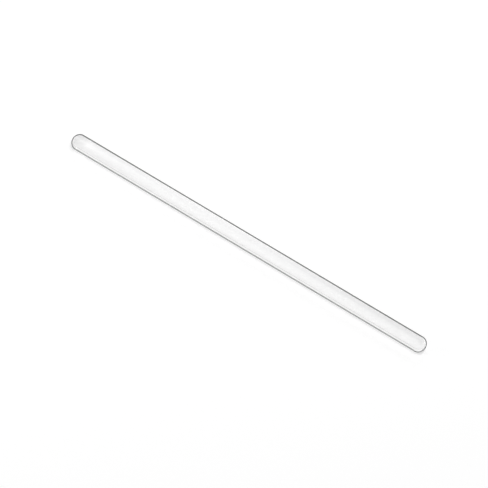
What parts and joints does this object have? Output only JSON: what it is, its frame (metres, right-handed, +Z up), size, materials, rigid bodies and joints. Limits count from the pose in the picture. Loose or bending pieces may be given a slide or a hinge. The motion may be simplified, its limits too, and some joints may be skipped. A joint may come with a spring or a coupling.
{
  "type": "glass stirring rod",
  "caption": "Slender solid rod of clear glass with rounded, fire-polished ends, for stirring liquids and guiding a pour in the laboratory.",
  "frame": {"origin": "on the rod's axis, midway between its two tips", "axes": "+X along the rod's axis; the rod lies level, with +Z up"},
  "size_m": [0.15, 0.006, 0.006],
  "materials": {
    "clear_glass": "clear borosilicate glass, smooth as drawn, fire-polished ends"
  },
  "bodies": {
    "root": {"rod": "clear_glass"}
  },
  "joints": []
}
